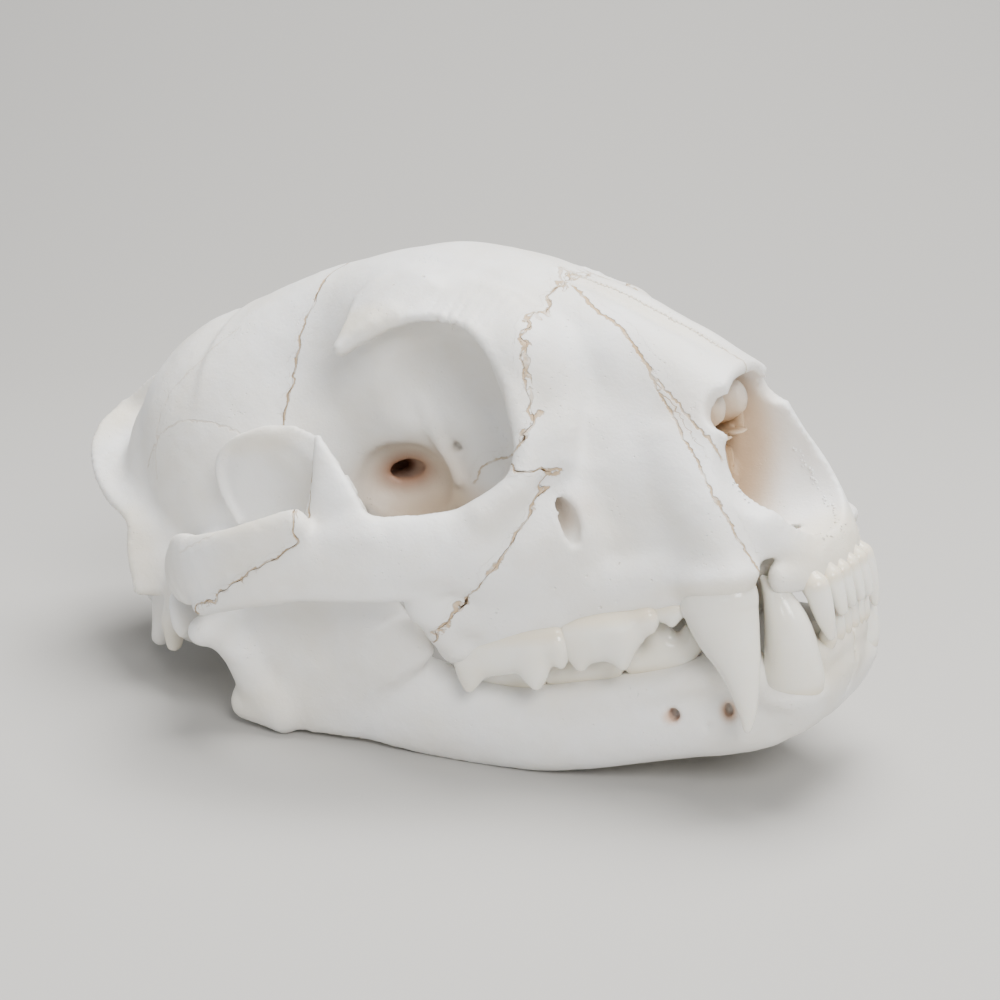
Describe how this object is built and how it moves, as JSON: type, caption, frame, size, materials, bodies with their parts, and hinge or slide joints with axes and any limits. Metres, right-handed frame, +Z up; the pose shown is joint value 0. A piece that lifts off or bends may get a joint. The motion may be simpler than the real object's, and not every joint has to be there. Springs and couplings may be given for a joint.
{
  "type": "cougar skull with lower jaw",
  "caption": "Life-size bleached skull of a cougar lying on its closed lower jaw with the snout raised, for display or study.",
  "frame": {"origin": "middle of the bounding box in X and Y, at the floor that the lower jaw rests on", "axes": "+X towards the snout, +Y towards the animal's left, +Z up; the skull is tilted snout up as it rests on its jaw"},
  "size_m": [0.2112, 0.127, 0.1096],
  "materials": {
    "bone": "bleached dry bone, matte white with faint cream edges",
    "enamel": "ivory tooth enamel, smooth and glossy"
  },
  "bodies": {
    "root": {"braincase": "bone", "forehead": "bone", "snout": "bone", "cheekbone_left": "bone", "cheekbone_right": "bone", "temple_bar_left": "bone", "temple_bar_right": "bone", "jaw_left": "bone", "jaw_right": "bone"}
  },
  "joints": []
}
